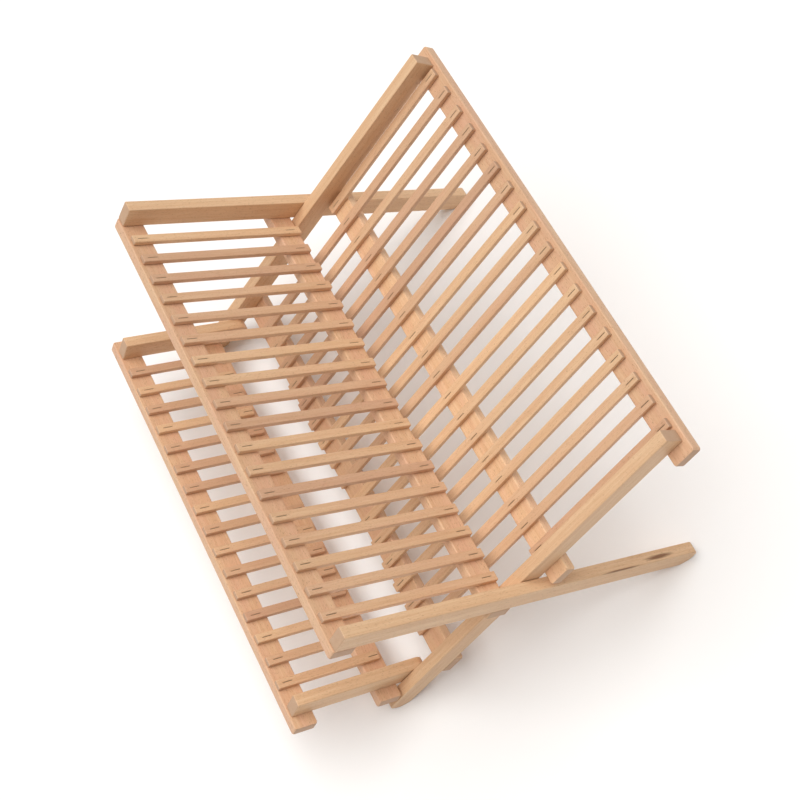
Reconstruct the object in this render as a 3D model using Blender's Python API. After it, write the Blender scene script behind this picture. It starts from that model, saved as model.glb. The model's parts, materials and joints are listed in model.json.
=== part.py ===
"""A folding wooden drying rack: two slatted frames that cross like an X, and a slatted shelf below them.

The rack's length lies along Y, Z is up, and both folds turn about Y. Each frame is built in the space of an
empty on its hinge axis: X runs out along the frame's arm, and Z points to the side that the slats face.
"""

import math

import bmesh
import bpy

# Sizes of the timber, in metres
RAIL_LENGTH = 0.445  # the rack's whole length
RAIL_WIDTH = 0.022
RAIL_THICK = 0.010
RAIL_CORNER = 0.0025  # radius of the corners of a rail's ends
BAR_THICK = 0.011  # legs and shelf bars, along Y
BAR_DEPTH = 0.020  # legs and shelf bars, square to the slats
SLAT_WIDTH = 0.0085
SLAT_THICK = 0.0045
SLAT_ROWS = 18

# Lengths along the arms, from the main axis or, on the shelf, from the shelf axis
WIDE_REACH = 0.188  # to the outer edge of the wide frame's top rail
NARROW_REACH = 0.1945  # to the outer edge of the narrow frame's top rail
LEG_BELOW = 0.190  # from the main axis down to the foot
SHELF_FROM_FOOT = 0.039  # from the foot up to the shelf axis
SHELF_CLEAR = 0.029  # left between the main axis and the folded shelf

# How far the ends of bars and slats stay back from a rail's edge
WIDE_LEG_INSET = 0.001
NARROW_LEG_INSET = 0.0035
SHELF_BAR_INSET = 0.0015
WIDE_SLAT_INSET = 0.002  # at the top rails
NARROW_SLAT_INSET = 0.004
SHELF_SLAT_INSET = 0.001  # at the outer rail
SHELF_SLAT_START = 0.005  # at the inner rail
SLAT_END_INSET = 0.001  # at the middle rails
LOWER_RAIL_LIFT = 0.0175  # from the shelf axis to the lower rail
LOWER_SLAT_INSET = 0.0015
MIDDLE_RAIL_SETBACK = 0.003  # further out than the stop needs

# Feet, pins and clearances
FOOT_RADIUS = 0.012
FOOT_BACK_RADIUS = 0.005
FOOT_FLAT_DEPTH = 0.0007  # worn off the round of the foot, where it stands
PIN_RADIUS = 0.0025
PIN_PLAY = 0.0001
PIN_HOLE_DEPTH = 0.008  # into each of the two bars
GAP = 0.0003  # between pieces that touch
SIDE_GAP = 0.003  # between a narrow leg and the first slat
FOLD_SLACK = 0.00025  # lifts the hinge axis off the middle of the bar, so that folded rails clear the legs

# How far each fold stands open
WIDE_OPEN = math.radians(100)  # between the wide and the narrow frame's arms
SHELF_OPEN = math.radians(105.5)  # between the shelf and the narrow frame's arm

# Colours and surfaces: base colour, roughness, metallic
LEG_WOOD = ((0.74, 0.49, 0.27), 0.55, 0.0)
RAIL_WOOD = ((0.72, 0.42, 0.24), 0.55, 0.0)
SLAT_WOOD = ((0.76, 0.50, 0.28), 0.55, 0.0)
STEEL = ((0.60, 0.60, 0.62), 0.35, 1.0)

# Worked out from the sizes above
LAYER = BAR_THICK + GAP  # from one bar to the next one further in
AXIS_HEIGHT = BAR_DEPTH / 2 + FOLD_SLACK  # from a bar's underside up to its hinge axis
BAR_TOP = BAR_DEPTH - AXIS_HEIGHT
RAIL_TOP = -AXIS_HEIGHT - GAP
ARM_SLOPE = (math.pi - WIDE_OPEN) / 2  # of both frames, above the floor
INNER_RAIL_LENGTH = RAIL_LENGTH - 2 * LAYER  # between the wide frame's legs
SHELF_AXIS = LEG_BELOW - SHELF_FROM_FOOT  # from the main axis, down the narrow legs
SHELF_REACH = SHELF_AXIS - SHELF_CLEAR
FIRST_ROW = 2 * LAYER - GAP + SIDE_GAP + SLAT_WIDTH / 2
ROW_PITCH = (RAIL_LENGTH - 2 * FIRST_ROW) / (SLAT_ROWS - 1)
ROUND_SIDES = 24


def stop_edge(opening):
    """Where a rail's inner edge sits on its arm, so that it bears on a narrow leg when the fold is open."""
    rail_bottom = AXIS_HEIGHT + GAP + RAIL_THICK
    return (BAR_TOP + GAP - rail_bottom * math.cos(opening)) / math.sin(opening)


def axis_above_floor():
    """Height of the main axis, with the legs standing on the flats of their feet."""
    return (
        (LEG_BELOW - FOOT_RADIUS) * math.sin(ARM_SLOPE)
        - (FOOT_RADIUS - AXIS_HEIGHT) * math.cos(ARM_SLOPE)
        + FOOT_RADIUS
        - FOOT_FLAT_DEPTH
    )


def row_place(row):
    return row * ROW_PITCH - (RAIL_LENGTH / 2 - FIRST_ROW)


def arc(centre_x, centre_y, radius, start, end, steps):
    """Points along a round corner, from one angle to another, in degrees."""
    angles = [math.radians(start + (end - start) * step / steps) for step in range(steps + 1)]
    return [(centre_x + radius * math.cos(a), centre_y + radius * math.sin(a)) for a in angles]


def leg_outline(top_end):
    """Side view of a leg: square at the top, and rounded at the foot, with a flat that stands on the floor."""
    foot_x = FOOT_RADIUS - LEG_BELOW
    foot_z = FOOT_RADIUS - AXIS_HEIGHT
    down = 270 - math.degrees(ARM_SLOPE)
    half_flat = math.degrees(math.acos(1 - FOOT_FLAT_DEPTH / FOOT_RADIUS))
    back_x = FOOT_BACK_RADIUS - LEG_BELOW
    back_z = BAR_TOP - FOOT_BACK_RADIUS
    outline = [(top_end, -AXIS_HEIGHT), (top_end, BAR_TOP)]
    outline += arc(back_x, back_z, FOOT_BACK_RADIUS, 90, 180, 4)
    outline += arc(foot_x, foot_z, FOOT_RADIUS, 180, down - half_flat, 4)
    outline += arc(foot_x, foot_z, FOOT_RADIUS, down + half_flat, 270, 3)
    return outline


def shelf_bar_outline():
    """Side view of a shelf bar: square at its outer end, and round about the shelf axis."""
    middle = (BAR_TOP - AXIS_HEIGHT) / 2
    outer_end = SHELF_REACH - SHELF_BAR_INSET
    outline = [(outer_end, -AXIS_HEIGHT), (outer_end, BAR_TOP)]
    return outline + arc(0, middle, BAR_DEPTH / 2, 90, 270, 12)


def rail_outline(length):
    """Plan view of a rail, with rounded corners."""
    side = RAIL_WIDTH / 2 - RAIL_CORNER
    end = length / 2 - RAIL_CORNER
    outline = arc(side, end, RAIL_CORNER, 0, 90, 4)
    outline += arc(-side, end, RAIL_CORNER, 90, 180, 4)
    outline += arc(-side, -end, RAIL_CORNER, 180, 270, 4)
    return outline + arc(side, -end, RAIL_CORNER, 270, 360, 4)


def prism(points, push):
    """A closed mesh: the flat outline through these points, extruded by the vector push."""
    shape = bmesh.new()
    face = shape.faces.new([shape.verts.new(point) for point in points])
    made = bmesh.ops.extrude_face_region(shape, geom=[face], use_keep_orig=True)
    moved = [item for item in made["geom"] if isinstance(item, bmesh.types.BMVert)]
    bmesh.ops.translate(shape, verts=moved, vec=push)
    bmesh.ops.recalc_face_normals(shape, faces=shape.faces)
    return shape


def bar_shape(outline):
    half = BAR_THICK / 2
    return prism([(x, -half, z) for x, z in outline], (0, BAR_THICK, 0))


def rail_shape(length, middle=0.0):
    """A rail with its top face at height 0 and its middle at this place along the arm."""
    return prism([(x + middle, y, -RAIL_THICK) for x, y in rail_outline(length)], (0, 0, RAIL_THICK))


def box_into(shape, low, high):
    """Adds a box between two opposite corners to a mesh."""
    made = bmesh.ops.create_cube(shape, size=1)
    size = [top - bottom for bottom, top in zip(low, high)]
    middle = [(top + bottom) / 2 for bottom, top in zip(low, high)]
    bmesh.ops.scale(shape, verts=made["verts"], vec=size)
    bmesh.ops.translate(shape, verts=made["verts"], vec=middle)


def slat_shape(start, end, bottom=0.0):
    """A slat that runs from start to end, with its underside at the given height."""
    shape = bmesh.new()
    box_into(shape, (start, -SLAT_WIDTH / 2, bottom), (end, SLAT_WIDTH / 2, SLAT_THICK))
    return shape


def cylinder_shape(radius, length):
    """A round rod along Y."""
    shape = bmesh.new()
    bmesh.ops.create_cone(
        shape, cap_ends=True, segments=ROUND_SIDES, radius1=radius, radius2=radius, depth=length
    )
    for vertex in shape.verts:
        vertex.co.y, vertex.co.z = vertex.co.z, -vertex.co.y
    return shape


def finish(piece, surface):
    """Gives a piece its own Principled material."""
    colour, roughness, metallic = surface
    material = bpy.data.materials.new(piece.name)
    material.use_nodes = True
    shader = material.node_tree.nodes["Principled BSDF"]
    shader.inputs["Base Color"].default_value = (*colour, 1)
    shader.inputs["Roughness"].default_value = roughness
    shader.inputs["Metallic"].default_value = metallic
    piece.data.materials.append(material)


def add_piece(name, shape, arm, place, surface=None):
    """Makes an object from a bmesh, on an arm's empty. The place is along the arm, along Y, and above the axis."""
    mesh = bpy.data.meshes.new(name)
    shape.to_mesh(mesh)
    shape.free()
    piece = bpy.data.objects.new(name, mesh)
    bpy.context.scene.collection.objects.link(piece)
    piece.parent = arm
    along, across, height = place
    # The wide frame's and the shelf's arms point the other way, with their Y turned round too.
    facing = 1 if arm.rotation_euler.z == 0 else -1
    piece.location = (along, across * facing, height)
    if surface:
        finish(piece, surface)
    return piece


def add_helper(name, shape, arm, place):
    """A hidden shape that a Boolean uses."""
    helper = add_piece(name, shape, arm, place)
    helper.hide_render = True
    helper.display_type = "WIRE"
    return helper


def combine(piece, helper, operation):
    modifier = piece.modifiers.new(helper.name, "BOOLEAN")
    modifier.operation = operation
    modifier.solver = "EXACT"
    modifier.object = helper


def add_empty(name, parent, along, slope, turn):
    """A frame's space: its origin is on the hinge axis, and its X axis runs out along the arm."""
    empty = bpy.data.objects.new(name, None)
    bpy.context.scene.collection.objects.link(empty)
    empty.parent = parent
    empty.location = (along, 0, 0)
    empty.rotation_euler = (0, -slope, turn)
    return empty


def bar_place(side, layer):
    """Where a bar's middle lies along Y: layer 0 is the wide frame, 1 the narrow one, and 2 the shelf."""
    return side * (RAIL_LENGTH / 2 - BAR_THICK / 2 - layer * LAYER)


def add_bars(name, outline, arm, layer):
    """The near and the far bar of one frame, as a dictionary by side."""
    return {
        side: add_piece(
            f"{name}_{word}", bar_shape(outline), arm, (0, bar_place(side, layer), 0), LEG_WOOD
        )
        for side, word in SIDES.items()
    }


def add_rail(name, arm, inner_edge, length=RAIL_LENGTH):
    middle = inner_edge + RAIL_WIDTH / 2
    return add_piece(name, rail_shape(length), arm, (middle, 0, RAIL_TOP), RAIL_WOOD)


def add_slats(name, arm, start, end, outer_start):
    """A row of slats. The first and the last start at outer_start, to leave room for the shelf's bars."""
    for row in range(SLAT_ROWS):
        from_here = outer_start if row in (0, SLAT_ROWS - 1) else start
        shape = slat_shape(from_here, end)
        place = (0, row_place(row), -AXIS_HEIGHT)
        add_piece(f"{name}_{row + 1:02d}", shape, arm, place, SLAT_WOOD)


def add_pins(name, arm, outer_bars, inner_bars, layer):
    """Blind holes in facing bars, and the pin that joins them."""
    hole_length = 2 * PIN_HOLE_DEPTH + GAP
    for side, word in SIDES.items():
        middle = side * (RAIL_LENGTH / 2 - (layer + 1) * LAYER + GAP / 2)
        hole = cylinder_shape(PIN_RADIUS + PIN_PLAY, hole_length)
        cutter = add_helper(f"{name}_hole_{word}", hole, arm, (0, middle, 0))
        combine(outer_bars[side], cutter, "DIFFERENCE")
        combine(inner_bars[side], cutter, "DIFFERENCE")
        rod = cylinder_shape(PIN_RADIUS, hole_length - 2 * GAP)
        pin = add_piece(f"{name}_{word}", rod, arm, (0, middle, 0), STEEL)
        pin.data.shade_smooth()
        pin.data.set_sharp_from_angle(angle=math.radians(40))


def add_shelf_deck(arm):
    """The shelf's two rails and its slats, joined to one piece."""
    sink = 0.0005  # the slats' overlap with the rails that they join
    inner_edge = stop_edge(SHELF_OPEN)
    rails = rail_shape(INNER_RAIL_LENGTH, inner_edge + RAIL_WIDTH / 2)
    outer = rail_shape(INNER_RAIL_LENGTH, SHELF_REACH - RAIL_WIDTH / 2)
    other = bpy.data.meshes.new("shelf_outer_rail")
    outer.to_mesh(other)
    outer.free()
    rails.from_mesh(other)
    deck = add_piece("shelf_deck", rails, arm, (0, 0, RAIL_TOP), RAIL_WOOD)
    slats = bmesh.new()
    for row in range(1, SLAT_ROWS - 1):
        low = (inner_edge + SHELF_SLAT_START, row_place(row) - SLAT_WIDTH / 2, -GAP - sink)
        high = (SHELF_REACH - SHELF_SLAT_INSET, row_place(row) + SLAT_WIDTH / 2, SLAT_THICK)
        box_into(slats, low, high)
    combine(deck, add_helper("shelf_slats", slats, arm, (0, 0, -AXIS_HEIGHT)), "UNION")


def centre_over_origin(root):
    """Moves the rack along X until its box is centred on the origin."""
    bpy.context.view_layer.update()
    pieces = [item for item in bpy.context.scene.objects if item.type == "MESH" and not item.hide_render]
    places = [(piece.matrix_world @ vertex.co).x for piece in pieces for vertex in piece.data.vertices]
    root.location.x -= (min(places) + max(places)) / 2


SIDES = {-1: "near", 1: "far"}

for item in list(bpy.data.objects):
    bpy.data.objects.remove(item)

narrow_arm = add_empty("narrow_arm", None, 0, ARM_SLOPE, 0)
narrow_arm.location.z = axis_above_floor()
wide_arm = add_empty("wide_arm", narrow_arm, 0, math.pi - WIDE_OPEN, math.pi)
shelf_arm = add_empty("shelf_arm", narrow_arm, -SHELF_AXIS, math.pi - SHELF_OPEN, math.pi)

# The wide frame
wide_stop = stop_edge(WIDE_OPEN)
wide_slat_start = wide_stop + SLAT_END_INSET
wide_legs = add_bars("wide_leg", leg_outline(WIDE_REACH - WIDE_LEG_INSET), wide_arm, 0)
add_rail("wide_top_rail", wide_arm, WIDE_REACH - RAIL_WIDTH)
add_rail("wide_middle_rail", wide_arm, wide_stop)
add_slats("wide_slat", wide_arm, wide_slat_start, WIDE_REACH - WIDE_SLAT_INSET, wide_slat_start)

# The narrow frame
lower_edge = LOWER_RAIL_LIFT - SHELF_AXIS
middle_edge = wide_stop + MIDDLE_RAIL_SETBACK
narrow_legs = add_bars("narrow_leg", leg_outline(NARROW_REACH - NARROW_LEG_INSET), narrow_arm, 1)
add_rail("narrow_top_rail", narrow_arm, NARROW_REACH - RAIL_WIDTH)
add_rail("narrow_middle_rail", narrow_arm, middle_edge)
add_rail("narrow_lower_rail", narrow_arm, lower_edge, INNER_RAIL_LENGTH)
add_slats(
    "narrow_slat",
    narrow_arm,
    lower_edge + LOWER_SLAT_INSET,
    NARROW_REACH - NARROW_SLAT_INSET,
    middle_edge + SLAT_END_INSET,
)

# The shelf
shelf_bars = add_bars("shelf_bar", shelf_bar_outline(), shelf_arm, 2)
add_shelf_deck(shelf_arm)

# The pins
add_pins("main_pin", wide_arm, wide_legs, narrow_legs, 0)
add_pins("shelf_pin", shelf_arm, narrow_legs, shelf_bars, 1)

centre_over_origin(narrow_arm)
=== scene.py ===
import json
import math
import random

import bmesh
import bpy
from mathutils import Matrix, Vector


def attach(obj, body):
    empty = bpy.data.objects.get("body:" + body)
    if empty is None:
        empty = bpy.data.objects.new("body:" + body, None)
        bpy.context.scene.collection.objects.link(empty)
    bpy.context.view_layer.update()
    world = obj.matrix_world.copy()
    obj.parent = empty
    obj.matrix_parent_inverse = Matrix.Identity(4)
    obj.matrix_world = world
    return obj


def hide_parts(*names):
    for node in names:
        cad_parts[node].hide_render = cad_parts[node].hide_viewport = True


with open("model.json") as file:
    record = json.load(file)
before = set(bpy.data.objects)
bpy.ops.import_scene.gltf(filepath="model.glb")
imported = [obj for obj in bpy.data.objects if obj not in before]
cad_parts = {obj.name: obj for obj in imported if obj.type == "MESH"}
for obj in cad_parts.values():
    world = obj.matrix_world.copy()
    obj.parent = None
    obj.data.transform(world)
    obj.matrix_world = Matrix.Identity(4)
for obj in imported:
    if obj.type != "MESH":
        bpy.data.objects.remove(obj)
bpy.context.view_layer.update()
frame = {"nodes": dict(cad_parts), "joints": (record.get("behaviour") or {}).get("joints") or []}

# each arm has its own space: X out along the arm, Z towards its slats

hinges = {joint["name"]: joint for joint in frame["joints"]}
wideOpening = hinges["main_fold"]["range_deg"][1]
shelfOpening = hinges["shelf_fold"]["range_deg"][1]
armSlope = (180 - wideOpening) / 2


def armSpace(hinge, slope, turned):
    place = Matrix.Translation(hinges[hinge]["pos_m"])
    turn = Matrix.Rotation(math.pi if turned else 0, 4, "Z")
    return place @ turn @ Matrix.Rotation(-math.radians(slope), 4, "Y")


arms = {
    "wide": armSpace("main_fold", armSlope, True),
    "narrow": armSpace("main_fold", armSlope, False),
    "shelf": armSpace("shelf_fold", 180 - armSlope - shelfOpening, True),
}
bodies = {"wide": "wide_frame", "narrow": "narrow_frame", "shelf": "shelf"}


def nodeSpan(node, arm):
    # lowest and highest corner of a frame node, in the space of its arm
    back = arms[arm].inverted()
    places = [back @ vertex.co for vertex in frame["nodes"][node].data.vertices]
    low = Vector([min(place[axis] for place in places) for axis in range(3)])
    high = Vector([max(place[axis] for place in places) for axis in range(3)])
    return low, high


def addNode(tree, kind, inputs=None, **settings):
    node = tree.nodes.new(kind)
    for name, value in settings.items():
        setattr(node, name, value)
    for socket, value in (inputs or {}).items():
        if isinstance(value, bpy.types.NodeSocket):
            tree.links.new(value, node.inputs[socket])
        else:
            node.inputs[socket].default_value = value
    return node


def mathNode(tree, operation, *values):
    node = addNode(tree, "ShaderNodeMath", operation=operation)
    for place, value in enumerate(values):
        if isinstance(value, bpy.types.NodeSocket):
            tree.links.new(value, node.inputs[place])
        else:
            node.inputs[place].default_value = value
    return node.outputs[0]


def stretched(tree, vector, scale):
    node = addNode(tree, "ShaderNodeVectorMath", {0: vector, 1: scale}, operation="MULTIPLY")
    return node.outputs[0]


def remap(tree, value, fromLow, fromHigh, toLow=0.0, toHigh=1.0):
    inputs = {0: value, 1: fromLow, 2: fromHigh, 3: toLow, 4: toHigh}
    return addNode(tree, "ShaderNodeMapRange", inputs).outputs[0]


def mixColour(tree, factor, first, second, blend="MIX"):
    node = addNode(tree, "ShaderNodeMix", data_type="RGBA", blend_type=blend)
    for name, value in (("Factor_Float", factor), ("A_Color", first), ("B_Color", second)):
        socket = next(item for item in node.inputs if item.identifier == name)
        if isinstance(value, bpy.types.NodeSocket):
            tree.links.new(value, socket)
        else:
            socket.default_value = value
    return next(item for item in node.outputs if item.identifier == "Result_Color")


def noise(tree, vector, detail=2.0, roughness=0.5, distortion=0.0):
    inputs = {"Vector": vector, "Scale": 1.0, "Detail": detail, "Roughness": roughness}
    inputs["Distortion"] = distortion
    return addNode(tree, "ShaderNodeTexNoise", inputs).outputs["Fac"]


# beech is everything but the staples and the pins
beech = {
    "pale": (0.80, 0.565, 0.355, 1),
    "deep": (0.68, 0.425, 0.24, 1),
    "pink": (0.74, 0.44, 0.295, 1),
    "fleck": (0.35, 0.18, 0.09, 1),
    "sawnEnd": (0.47, 0.30, 0.20, 1),
    "bands": (7.0, 260.0, 190.0),  # growth bands per metre: along, across and through the timber
    "fibres": (60.0, 1900.0, 1700.0),
    "rays": (420.0, 2900.0, 2600.0),  # the short dark dashes of beech
    "blotches": (16.0, 90.0, 90.0),
    "bandRange": (0.25, 0.8),
    "pinkRange": (0.35, 0.7),
    "fibreRange": (0.3, 0.7),
    "rayRange": (0.68, 0.78),
    "pinkLeast": 0.4,  # least and most of the pink, as a part of each timber's pinkness
    "pinkMost": 1.6,
    "pinkWhenDark": 3.5,  # how much pinker the darker planks are
    "fibreShade": 0.30,
    "sawnMix": 0.7,
    "sawnRougher": 0.15,
    "roughness": (0.45, 0.58),
    "rayDepth": 0.6,
    "bumpStrength": 0.6,
    "bumpDepth": 0.00006,
    "streakFray": 1.2,
    "toneLimits": (0.82, 1.12),
}


def beechWood(name, pinkness=0.3, fleckAmount=0.55, streaks=()):
    material = bpy.data.materials.new(name)
    material.use_nodes = True
    tree = material.node_tree
    shader = tree.nodes["Principled BSDF"]
    grain = addNode(tree, "ShaderNodeAttribute", attribute_name="grain").outputs["Vector"]
    tone = addNode(tree, "ShaderNodeAttribute", attribute_name="tone").outputs["Fac"]
    sawn = addNode(tree, "ShaderNodeAttribute", attribute_name="sawnEnd").outputs["Fac"]
    bands = noise(tree, stretched(tree, grain, beech["bands"]), 3.0, 0.55, 0.35)
    fibres = noise(tree, stretched(tree, grain, beech["fibres"]), 3.0, 0.6)
    rays = noise(tree, stretched(tree, grain, beech["rays"]), 0.0)
    blotches = noise(tree, stretched(tree, grain, beech["blotches"]), 2.0)
    colour = mixColour(tree, remap(tree, bands, *beech["bandRange"]), beech["pale"], beech["deep"])
    pinkMask = remap(tree, blotches, *beech["pinkRange"], pinkness * beech["pinkLeast"],
                     pinkness * beech["pinkMost"])
    darker = mathNode(tree, "SUBTRACT", 1.0, tone)
    pinkMask = mathNode(tree, "ADD", pinkMask, mathNode(tree, "MULTIPLY", darker, beech["pinkWhenDark"]))
    pinkMask = remap(tree, pinkMask, 0.0, 1.0)
    colour = mixColour(tree, pinkMask, colour, beech["pink"])
    toneGrey = addNode(tree, "ShaderNodeCombineColor", {0: tone, 1: tone, 2: tone}).outputs[0]
    colour = mixColour(tree, 1.0, colour, toneGrey, "MULTIPLY")
    fibreShade = remap(tree, fibres, *beech["fibreRange"], 0.0, beech["fibreShade"])
    colour = mixColour(tree, fibreShade, colour, beech["deep"], "MULTIPLY")
    rayMask = remap(tree, rays, *beech["rayRange"], 0.0, fleckAmount)
    colour = mixColour(tree, rayMask, colour, beech["fleck"])
    colour = mixColour(tree, mathNode(tree, "MULTIPLY", sawn, beech["sawnMix"]), colour, beech["sawnEnd"])
    for streak in streaks:
        colour = mixColour(tree, streakMask(tree, grain, fibres, streak), colour, streak["colour"])
    tree.links.new(colour, shader.inputs["Base Color"])
    rough = remap(tree, fibres, *beech["fibreRange"], *beech["roughness"])
    rougherEnds = mathNode(tree, "MULTIPLY", sawn, beech["sawnRougher"])
    tree.links.new(mathNode(tree, "ADD", rough, rougherEnds), shader.inputs["Roughness"])
    height = mathNode(tree, "SUBTRACT", fibres, mathNode(tree, "MULTIPLY", rayMask, beech["rayDepth"]))
    bump = addNode(tree, "ShaderNodeBump", {"Height": height, "Strength": beech["bumpStrength"],
                                            "Distance": beech["bumpDepth"]})
    tree.links.new(bump.outputs[0], shader.inputs["Normal"])
    return material


def streakMask(tree, grain, fibres, streak):
    # a dark spindle along the grain, frayed by the fibres
    centred = addNode(tree, "ShaderNodeVectorMath", {0: grain, 1: streak["middle"]}, operation="SUBTRACT")
    sized = addNode(tree, "ShaderNodeVectorMath", {0: centred.outputs[0], 1: streak["reach"]},
                    operation="DIVIDE")
    far = addNode(tree, "ShaderNodeVectorMath", {0: sized.outputs[0]}, operation="LENGTH").outputs["Value"]
    fray = mathNode(tree, "MULTIPLY", mathNode(tree, "SUBTRACT", fibres, 0.5), beech["streakFray"])
    frayed = mathNode(tree, "ADD", far, fray)
    return remap(tree, frayed, 1.0, 0.45, 0.0, streak["strength"])


legStreaks = (  # natural dark streaks on the near wide leg, close to its foot
    {"middle": (-0.097, 0.2221, 0.0096), "reach": (0.025, 0.0011, 0.0015), "strength": 0.85,
     "colour": (0.20, 0.085, 0.035, 1)},
    {"middle": (-0.143, 0.2185, 0.0098), "reach": (0.019, 0.0026, 0.0060), "strength": 0.9,
     "colour": (0.20, 0.075, 0.025, 1)},
)

woods = {
    "leg": beechWood("beechLeg", pinkness=0.1),
    "nearWideLeg": beechWood("beechLegStreaked", pinkness=0.1, streaks=legStreaks),
    "rail": beechWood("beechRail", pinkness=0.5, fleckAmount=0.65),
    "slat": beechWood("beechSlat", pinkness=0.25),
}
print("beech mixed")


stapleFinish = {
    "dark": (0.26, 0.17, 0.10, 1),
    "light": (0.42, 0.30, 0.19, 1),
    "mottle": (900, 900, 900),
    "metallic": 0.5,
    "roughness": (0.35, 0.6),
}


def staple():
    material = bpy.data.materials.new("stapleWire")
    material.use_nodes = True
    tree = material.node_tree
    shader = tree.nodes["Principled BSDF"]
    place = addNode(tree, "ShaderNodeTexCoord").outputs["Object"]
    dulled = noise(tree, stretched(tree, place, stapleFinish["mottle"]), 2.0)
    tree.links.new(mixColour(tree, dulled, stapleFinish["dark"], stapleFinish["light"]),
                   shader.inputs["Base Color"])
    shader.inputs["Metallic"].default_value = stapleFinish["metallic"]
    tree.links.new(remap(tree, dulled, 0.3, 0.7, *stapleFinish["roughness"]), shader.inputs["Roughness"])
    return material


pinFinish = {
    "dark": (0.50, 0.50, 0.52, 1),
    "light": (0.66, 0.66, 0.68, 1),
    "drawnLines": (300, 6000, 300),
    "roughness": (0.25, 0.45),
}


def pinSteel():
    material = bpy.data.materials.new("pinSteel")
    material.use_nodes = True
    tree = material.node_tree
    shader = tree.nodes["Principled BSDF"]
    place = addNode(tree, "ShaderNodeTexCoord").outputs["Object"]
    turned = noise(tree, stretched(tree, place, pinFinish["drawnLines"]), 2.0)
    tree.links.new(mixColour(tree, turned, pinFinish["dark"], pinFinish["light"]),
                   shader.inputs["Base Color"])
    shader.inputs["Metallic"].default_value = 1.0
    tree.links.new(remap(tree, turned, 0.3, 0.7, *pinFinish["roughness"]), shader.inputs["Roughness"])
    return material


def arcPoints(centreX, centreY, radius, start, end, steps):
    angles = [math.radians(start + (end - start) * step / steps) for step in range(steps + 1)]
    return [(centreX + radius * math.cos(a), centreY + radius * math.sin(a)) for a in angles]


def easedTimber(outline, push, ease, steps=2):
    # a prism through the outline, with every sharp edge rounded over
    shape = bmesh.new()
    face = shape.faces.new([shape.verts.new(point) for point in outline])
    made = bmesh.ops.extrude_face_region(shape, geom=[face], use_keep_orig=True)
    moved = [item for item in made["geom"] if isinstance(item, bmesh.types.BMVert)]
    bmesh.ops.translate(shape, verts=moved, vec=push)
    bmesh.ops.recalc_face_normals(shape, faces=shape.faces)
    sharp = [edge for edge in shape.edges if edge.calc_face_angle() > math.radians(40)]
    bmesh.ops.bevel(shape, geom=sharp, offset=ease, offset_type="OFFSET", segments=steps,
                    profile=0.5, affect="EDGES", clamp_overlap=True)
    mesh = bpy.data.meshes.new("timber")
    shape.to_mesh(mesh)
    shape.free()
    return mesh


def markGrain(mesh, along, seed, toneSpread, toneMiddle=1.0, rowOf=None, shifted=True):
    # stores where each point lies in its plank, the plank's tone, and which faces are sawn ends
    cross = 1 - along
    least, most = beech["toneLimits"]
    grain = mesh.attributes.new("grain", "FLOAT_VECTOR", "CORNER")
    tone = mesh.attributes.new("tone", "FLOAT", "FACE")
    sawn = mesh.attributes.new("sawnEnd", "FLOAT", "FACE")
    planks = {}
    for face in mesh.polygons:
        row = rowOf(face.center) if rowOf else 0
        if row not in planks:
            draw = random.Random(seed * 1000 + row)
            shift = Vector([draw.uniform(0, 2) for axis in range(3)]) if shifted else Vector()
            planks[row] = (shift, max(least, min(most, draw.gauss(toneMiddle, toneSpread))))
        shift, plankTone = planks[row]
        tone.data[face.index].value = plankTone
        sawn.data[face.index].value = 1.0 if abs(face.normal[along]) > 0.8 else 0.0
        for corner in face.loop_indices:
            place = mesh.vertices[mesh.loops[corner].vertex_index].co
            grain.data[corner].vector = Vector((place[along], place[cross], place[2])) + shift


def makePiece(name, mesh, arm, material, replaced, mark=None):
    # puts a mesh made in an arm's space where it belongs, and lets it ride
    if mark:
        markGrain(mesh, **mark)
    mesh.transform(arms[arm])
    for face in mesh.polygons:
        face.use_smooth = True
    piece = bpy.data.objects.new(name, mesh)
    bpy.context.scene.collection.objects.link(piece)
    if material.name not in mesh.materials:
        mesh.materials.clear()
        mesh.materials.append(material)
    weigh = piece.modifiers.new("weigh", "WEIGHTED_NORMAL")
    weigh.weight = 100
    bakeModifiers(piece)
    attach(piece, bodies[arm])
    if replaced:
        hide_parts(*replaced)
    return piece


def bakeModifiers(piece):
    bpy.context.view_layer.update()
    graph = bpy.context.evaluated_depsgraph_get()
    done = bpy.data.meshes.new_from_object(piece.evaluated_get(graph), depsgraph=graph,
                                           preserve_all_data_layers=True)
    piece.modifiers.clear()
    piece.data = done


legShape = {
    "firstSeed": 3,
    "toneSpread": 0.02,
    "toneMiddle": 1.05,
    "ease": 0.0009,
    "footRadius": 0.012,  # the corner that stands on the floor
    "footBackRadius": 0.005,
    "footFlat": 0.0007,
}


def legOutline(low, high):
    footRadius = legShape["footRadius"]
    backRadius = legShape["footBackRadius"]
    down = 270 - armSlope
    halfFlat = math.degrees(math.acos(1 - legShape["footFlat"] / footRadius))
    outline = [(high.x, low.z), (high.x, high.z)]
    outline += arcPoints(low.x + backRadius, high.z - backRadius, backRadius, 90, 180, 8)
    outline += arcPoints(low.x + footRadius, low.z + footRadius, footRadius, 180, down - halfFlat, 5)
    outline += arcPoints(low.x + footRadius, low.z + footRadius, footRadius, down + halfFlat, 270, 4)
    return outline


def barOutline(low, high):
    radius = (high.z - low.z) / 2
    outline = [(high.x, low.z), (high.x, high.z)]
    return outline + arcPoints(low.x + radius, low.z + radius, radius, 90, 270, 20)


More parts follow.
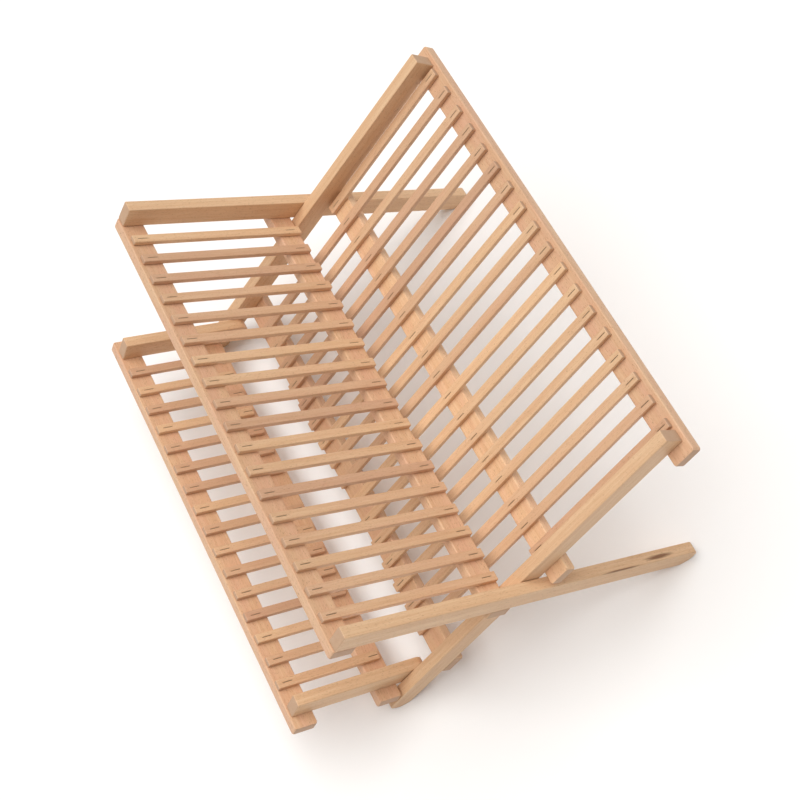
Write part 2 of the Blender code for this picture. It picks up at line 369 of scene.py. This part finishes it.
for seed, (node, arm, outlineOf) in enumerate((
    ("wide_leg_near", "wide", legOutline),
    ("wide_leg_far", "wide", legOutline),
    ("narrow_leg_near", "narrow", legOutline),
    ("narrow_leg_far", "narrow", legOutline),
    ("shelf_bar_near", "shelf", barOutline),
    ("shelf_bar_far", "shelf", barOutline),
)):
    low, high = nodeSpan(node, arm)
    outline = [(x, low.y, z) for x, z in outlineOf(low, high)]
    timber = easedTimber(outline, (0, high.y - low.y, 0), legShape["ease"])
    streaked = node == "wide_leg_near"
    wood = woods["nearWideLeg" if streaked else "leg"]
    words = node.split("_")
    pieceName = words[0] + words[1].capitalize() + words[2].capitalize()
    makePiece(pieceName, timber, arm, wood, [node],
              {"along": 0, "seed": seed + legShape["firstSeed"], "shifted": not streaked,
               "toneSpread": legShape["toneSpread"], "toneMiddle": legShape["toneMiddle"]})
print("legs and bars cut")

railShape = {
    "firstSeed": 20,
    "toneSpread": 0.02,
    "ease": 0.0011,
    "corner": 0.0025,
    "cornerSteps": 8,
    "shelfWidth": 0.022,
    "shelfThick": 0.010,
    "paintedLightRail": "narrow_middle_rail",  # painted paler than the others: painted light, for the light that falls between the slats onto it
    "paintedLightTone": 1.10,
}


def railMesh(low, high):
    corner = railShape["corner"]
    steps = railShape["cornerSteps"]
    outline = arcPoints(high.x - corner, high.y - corner, corner, 0, 90, steps)
    outline += arcPoints(low.x + corner, high.y - corner, corner, 90, 180, steps)
    outline += arcPoints(low.x + corner, low.y + corner, corner, 180, 270, steps)
    outline += arcPoints(high.x - corner, low.y + corner, corner, 270, 360, steps)
    return easedTimber([(x, y, low.z) for x, y in outline], (0, 0, high.z - low.z), railShape["ease"])


rails = {}  # each rail's lowest and highest corner, in its arm's space
for node in ("wide_top_rail", "wide_middle_rail",
             "narrow_top_rail", "narrow_middle_rail", "narrow_lower_rail"):
    rails[node] = nodeSpan(node, node.split("_")[0])
deckLow, deckHigh = nodeSpan("shelf_deck", "shelf")
railTop = deckLow.z + railShape["shelfThick"]
outerLow = Vector((deckHigh.x - railShape["shelfWidth"], deckLow.y, deckLow.z))
innerHigh = Vector((deckLow.x + railShape["shelfWidth"], deckHigh.y, railTop))
rails["shelf_outer_rail"] = (outerLow, Vector((deckHigh.x, deckHigh.y, railTop)))
rails["shelf_inner_rail"] = (deckLow, innerHigh)
for seed, (node, (low, high)) in enumerate(rails.items()):
    arm, where, word = node.split("_")
    # this one rail's paler tone is painted light, not the colour of its plank
    middle = railShape["paintedLightTone"] if node == railShape["paintedLightRail"] else 1.0
    makePiece(arm + where.capitalize() + "Rail", railMesh(low, high), arm, woods["rail"],
              ["shelf_deck"] if arm == "shelf" else [node],
              {"along": 1, "seed": seed + railShape["firstSeed"],
               "toneSpread": railShape["toneSpread"], "toneMiddle": middle})
print("rails cut")

# each row of slats and of staples is made by Geometry Nodes
slatShape = {
    "firstSeed": 40,
    "shelfSeed": 47,
    "toneSpread": 0.07,
    "ease": 0.0007,
    "endPlay": 0.0005,  # how unevenly the slats were cut and laid
    "sidePlay": 0.00025,
    "crown": 0.0090,  # staple crown, along the slat
    "wire": 0.0006,
    "wireFlat": 1.15,  # how much wider than thick the wire is
    "legLong": 0.0015,  # how far the staple's ends go down
    "bend": 1.6,  # in half thicknesses of the wire
    "bendCut": 0.35,
    "grooveLong": 0.0100,
    "grooveWide": 0.0011,
    "grooveDeep": 0.0005,
    "stapleSink": 0.00015,
    "staplePlay": 0.0009,
}


def rowTree():
    # repeats a shape along Y, and slides each copy's two ends a little by themselves
    tree = bpy.data.node_groups.new("rowAcross", "GeometryNodeTree")
    face = tree.interface
    face.new_socket("Geometry", in_out="INPUT", socket_type="NodeSocketGeometry")
    for name, kind in (("Rows", "Int"), ("First", "Float"), ("Pitch", "Float"), ("Middle", "Float"),
                       ("End Play", "Float"), ("Side Play", "Float"), ("Seed", "Int"),
                       ("Short Start", "Float"), ("Material", "Material")):
        face.new_socket(name, in_out="INPUT", socket_type="NodeSocket" + kind)
    face.new_socket("Geometry", in_out="OUTPUT", socket_type="NodeSocketGeometry")
    given = tree.nodes.new("NodeGroupInput").outputs
    result = tree.nodes.new("NodeGroupOutput")

    def wire(kind, inputs=None, **settings):
        return addNode(tree, kind, inputs, **settings)

    def combine(x=0.0, y=0.0, z=0.0):
        return wire("ShaderNodeCombineXYZ", {0: x, 1: y, 2: z}).outputs[0]

    def uniform(reach, salt):
        low = mathNode(tree, "MULTIPLY", reach, -1.0)
        seed = mathNode(tree, "ADD", given["Seed"], salt)
        node = wire("FunctionNodeRandomValue", data_type="FLOAT")
        for name, value in (("Min_001", low), ("Max_001", reach), ("ID", index), ("Seed", seed)):
            socket = next(item for item in node.inputs if item.identifier == name)
            tree.links.new(value, socket)
        return next(item for item in node.outputs if item.identifier == "Value_001")

    index = wire("GeometryNodeInputIndex").outputs[0]
    row = wire("GeometryNodeMeshLine", {"Count": given["Rows"]}, mode="OFFSET")
    tree.links.new(combine(y=given["First"]), row.inputs["Start Location"])
    tree.links.new(combine(y=given["Pitch"]), row.inputs["Offset"])
    shaken = wire("GeometryNodeSetPosition", {"Geometry": row.outputs[0],
                                              "Offset": combine(y=uniform(given["Side Play"], 1))})
    lastRow = mathNode(tree, "SUBTRACT", given["Rows"], 1)
    outerRow = mathNode(tree, "ADD", mathNode(tree, "COMPARE", index, 0, 0.1),
                        mathNode(tree, "COMPARE", index, lastRow, 0.1))
    startShift = mathNode(tree, "ADD", mathNode(tree, "MULTIPLY", outerRow, given["Short Start"]),
                          uniform(given["End Play"], 2))
    geometry = shaken.outputs[0]
    for name, value in (("startShift", startShift), ("endShift", uniform(given["End Play"], 3))):
        store = wire("GeometryNodeStoreNamedAttribute", {"Geometry": geometry, "Name": name},
                     data_type="FLOAT", domain="POINT")
        tree.links.new(value, store.inputs["Value"])
        geometry = store.outputs[0]
    copies = wire("GeometryNodeInstanceOnPoints", {"Points": geometry, "Instance": given["Geometry"]})
    loose = wire("GeometryNodeRealizeInstances", {"Geometry": copies.outputs[0]})
    start = wire("GeometryNodeInputNamedAttribute", {"Name": "startShift"}, data_type="FLOAT").outputs[0]
    end = wire("GeometryNodeInputNamedAttribute", {"Name": "endShift"}, data_type="FLOAT").outputs[0]
    spot = wire("ShaderNodeSeparateXYZ", {0: wire("GeometryNodeInputPosition").outputs[0]}).outputs[0]
    pastMiddle = mathNode(tree, "GREATER_THAN", spot, given["Middle"])
    beforeMiddle = mathNode(tree, "SUBTRACT", 1.0, pastMiddle)
    slide = mathNode(tree, "ADD", mathNode(tree, "MULTIPLY", start, beforeMiddle),
                     mathNode(tree, "MULTIPLY", end, pastMiddle))
    slid = wire("GeometryNodeSetPosition", {"Geometry": loose.outputs[0], "Offset": combine(x=slide)})
    real = wire("GeometryNodeRealizeInstances", {"Geometry": slid.outputs[0]})
    painted = wire("GeometryNodeSetMaterial", {"Geometry": real.outputs[0], "Material": given["Material"]})
    tree.links.new(painted.outputs[0], result.inputs[0])
    return tree


rowAcross = rowTree()


def repeatInRow(mesh, material, rows, first, pitch, middle, seed,
                endPlay=0.0, sidePlay=0.0, shortStart=0.0):
    # runs the row tree on a mesh, and gives back the plain mesh of the whole row
    carrier = bpy.data.objects.new("rowCarrier", mesh)
    bpy.context.scene.collection.objects.link(carrier)
    modifier = carrier.modifiers.new("row", "NODES")
    modifier.node_group = rowAcross
    values = {"Rows": rows, "First": first, "Pitch": pitch, "Middle": middle, "End Play": endPlay,
              "Side Play": sidePlay, "Seed": seed, "Short Start": shortStart, "Material": material}
    for item in rowAcross.interface.items_tree:
        if item.in_out == "INPUT" and item.name in values:
            modifier[item.identifier] = values[item.name]
    bakeModifiers(carrier)
    row = carrier.data
    bpy.data.objects.remove(carrier)
    return row


def slatMesh(low, high):
    outline = [(low.x, low.y, low.z), (high.x, low.y, low.z),
               (high.x, low.y, high.z), (low.x, low.y, high.z)]
    return easedTimber(outline, (0, high.y - low.y, 0), slatShape["ease"])


def grooveMesh(topZ):
    shape = bmesh.new()
    bmesh.ops.create_cube(shape, size=1)
    size = (slatShape["grooveLong"], slatShape["grooveWide"], 2 * slatShape["grooveDeep"])
    bmesh.ops.scale(shape, verts=shape.verts, vec=size)
    bmesh.ops.translate(shape, verts=shape.verts, vec=(0, 0, topZ))
    mesh = bpy.data.meshes.new("groove")
    shape.to_mesh(mesh)
    shape.free()
    return mesh


def wireMesh(topZ):
    # a staple: a flattened wire whose two ends bend down into the wood
    half = slatShape["crown"] / 2
    thick = slatShape["wire"] / 2
    bend = thick * slatShape["bend"]
    cut = bend * slatShape["bendCut"]
    top = topZ - slatShape["stapleSink"] - thick
    path = [(-half, top - slatShape["legLong"]), (-half, top - bend), (-half + cut, top - cut),
            (-half + bend, top)]
    path += [(-x, z) for x, z in reversed(path)]
    shape = bmesh.new()
    rings = []
    for place, (x, z) in enumerate(path):
        before = path[max(place - 1, 0)]
        after = path[min(place + 1, len(path) - 1)]
        lean = math.atan2(after[1] - before[1], after[0] - before[0])
        ring = []
        for side in range(8):
            angle = math.radians(45 * side + 22.5)
            across = math.cos(angle) * thick * slatShape["wireFlat"]
            out = math.sin(angle) * thick
            ring.append(shape.verts.new((x - math.sin(lean) * out, across, z + math.cos(lean) * out)))
        rings.append(ring)
    for one, two in zip(rings, rings[1:]):
        for side in range(8):
            shape.faces.new((one[side], one[(side + 1) % 8], two[(side + 1) % 8], two[side]))
    shape.faces.new(rings[0])
    shape.faces.new(rings[-1])
    bmesh.ops.recalc_face_normals(shape, faces=shape.faces)
    mesh = bpy.data.meshes.new("wire")
    shape.to_mesh(mesh)
    shape.free()
    return mesh


def joinMeshes(meshes):
    shape = bmesh.new()
    for mesh in meshes:
        shape.from_mesh(mesh)
    joined = bpy.data.meshes.new("joined")
    shape.to_mesh(joined)
    shape.free()
    for material in meshes[0].materials:
        joined.materials.append(material)
    return joined


def slatRow(arm, low, high, rows, first, pitch, seats, seed, shortBy, replaced):
    # seats: for each rail, where its staples sit along the arm, and how many rows at each side have none
    wood = woods["slat"]
    middle = (low.x + high.x) / 2
    row = repeatInRow(slatMesh(low, high), wood, rows, first, pitch, middle, seed,
                      slatShape["endPlay"], slatShape["sidePlay"], shortBy)
    grooves, wires = [], []
    for number, (seat, skipped) in enumerate(seats):
        count = rows - 2 * skipped
        start = first + skipped * pitch
        shaken = {"rows": count, "first": start, "pitch": pitch, "middle": -1.0,
                  "seed": seed + 10 * number, "endPlay": slatShape["staplePlay"],
                  "sidePlay": slatShape["sidePlay"] * 2}
        for kept, shape in ((grooves, grooveMesh(high.z)), (wires, wireMesh(high.z))):
            made = repeatInRow(shape, stapleWire, **shaken)
            made.transform(Matrix.Translation((seat, 0, 0)))
            kept.append(made)
    cutter = bpy.data.objects.new("grooves", joinMeshes(grooves))
    bpy.context.scene.collection.objects.link(cutter)
    body = bpy.data.objects.new("rowBody", row)
    bpy.context.scene.collection.objects.link(body)
    cut = body.modifiers.new("cut", "BOOLEAN")
    cut.object = cutter
    bakeModifiers(body)
    row = body.data
    bpy.data.objects.remove(body)
    bpy.data.objects.remove(cutter)
    row.materials.clear()
    makePiece(arm + "Slats", row, arm, wood, replaced,
              {"along": 0, "seed": seed, "toneSpread": slatShape["toneSpread"],
               "rowOf": lambda place: round((place.y - first) / pitch)})
    makePiece(arm + "Staples", joinMeshes(wires), arm, stapleWire, [])
    print(arm, "slats and staples laid")


stapleWire = staple()


def railMiddle(node):
    low, high = rails[node]
    return (low.x + high.x) / 2


for seed, (arm, railNames) in enumerate((
    ("wide", ("wide_top_rail", "wide_middle_rail")),
    ("narrow", ("narrow_top_rail", "narrow_middle_rail", "narrow_lower_rail")),
)):
    names = sorted(node for node in frame["nodes"] if node.startswith(arm + "_slat_"))
    spans = [nodeSpan(name, arm) for name in names]
    order = sorted(spans, key=lambda span: span[0].y)
    low, high = order[1]
    first = (order[0][0].y + order[0][1].y) / 2
    last = (order[-1][0].y + order[-1][1].y) / 2
    pitch = (last - first) / (len(names) - 1)
    slatWidth = high.y - low.y
    low = Vector((low.x, -slatWidth / 2, low.z))
    high = Vector((high.x, slatWidth / 2, high.z))
    shortBy = order[0][0].x - order[1][0].x
    seats = [(railMiddle(node), 1 if "lower" in node else 0) for node in railNames]
    slatRow(arm, low, high, len(names), first, pitch, seats,
            slatShape["firstSeed"] + seed, shortBy, names)

shelfSlats = {"count": len(names) - 2, "thick": high.z - low.z, "innerInset": 0.005, "outerInset": 0.001}
slatLow = Vector((deckLow.x + shelfSlats["innerInset"], -slatWidth / 2, deckHigh.z - shelfSlats["thick"]))
slatHigh = Vector((deckHigh.x - shelfSlats["outerInset"], slatWidth / 2, deckHigh.z))
shelfSeats = [(railMiddle("shelf_outer_rail"), 0), (railMiddle("shelf_inner_rail"), 0)]
slatRow("shelf", slatLow, slatHigh, shelfSlats["count"], first + pitch, pitch, shelfSeats,
        slatShape["shelfSeed"], 0.0, ["shelf_deck"])

steel = pinSteel()
for node in ("main_pin_near", "main_pin_far", "shelf_pin_near", "shelf_pin_far"):
    pin = frame["nodes"][node]
    pin.data.materials.clear()
    pin.data.materials.append(steel)

studio = {
    "floorSize": 40.0,
    "floorColour": (0.95, 0.95, 0.95, 1),
    "backdrop": (1.0, 1.0, 1.0, 1),
    "ambient": 0.27,
    "ambientColour": (1.0, 0.985, 0.97, 1),
    "keyFrom": (-0.11, 0.14, 1.0),
    "keySpread": 60,  # degrees: the wider, the softer the shadows
    "keyPower": 2.85,
    "keyColour": (1.0, 0.985, 0.965),
}
view = {
    "place": (-0.0078, -0.6114, 1.3218),
    "turn": (24.227, 11.637, -26.800),
    "lens": 69.5,
}


def layFloor():
    shape = bmesh.new()
    bmesh.ops.create_grid(shape, x_segments=1, y_segments=1, size=studio["floorSize"] / 2)
    mesh = bpy.data.meshes.new("floor")
    shape.to_mesh(mesh)
    shape.free()
    floor = bpy.data.objects.new("floor", mesh)
    bpy.context.scene.collection.objects.link(floor)
    material = bpy.data.materials.new("floorPaper")
    material.use_nodes = True
    shader = material.node_tree.nodes["Principled BSDF"]
    shader.inputs["Base Color"].default_value = studio["floorColour"]
    shader.inputs["Roughness"].default_value = 0.9
    shader.inputs["Specular IOR Level"].default_value = 0.1
    mesh.materials.append(material)


def lightRack():
    world = bpy.data.worlds.new("studio")
    bpy.context.scene.world = world
    world.use_nodes = True
    tree = world.node_tree
    fill = tree.nodes["Background"]
    fill.inputs["Color"].default_value = studio["ambientColour"]
    fill.inputs["Strength"].default_value = studio["ambient"]
    # the backdrop looks white, but lights the rack only as much as the fill
    seen = addNode(tree, "ShaderNodeBackground", {"Color": studio["backdrop"], "Strength": 1.0})
    direct = addNode(tree, "ShaderNodeLightPath").outputs["Is Camera Ray"]
    both = addNode(tree, "ShaderNodeMixShader", {0: direct, 1: fill.outputs[0], 2: seen.outputs[0]})
    tree.links.new(both.outputs[0], tree.nodes["World Output"].inputs["Surface"])
    lamp = bpy.data.lights.new("key", "SUN")
    lamp.angle = math.radians(studio["keySpread"])
    lamp.energy = studio["keyPower"]
    lamp.color = studio["keyColour"]
    key = bpy.data.objects.new("key", lamp)
    bpy.context.scene.collection.objects.link(key)
    key.location = studio["keyFrom"]
    key.rotation_euler = Vector(studio["keyFrom"]).to_track_quat("Z", "Y").to_euler()


def setCamera():
    lens = bpy.data.cameras.new("camera")
    lens.lens = view["lens"]
    lens.sensor_width = 36
    camera = bpy.data.objects.new("camera", lens)
    bpy.context.scene.collection.objects.link(camera)
    camera.location = view["place"]
    camera.rotation_euler = [math.radians(angle) for angle in view["turn"]]
    bpy.context.scene.camera = camera
    bpy.context.scene.view_settings.view_transform = "Standard"


layFloor()
lightRack()
setCamera()
print("floor, light and camera set")
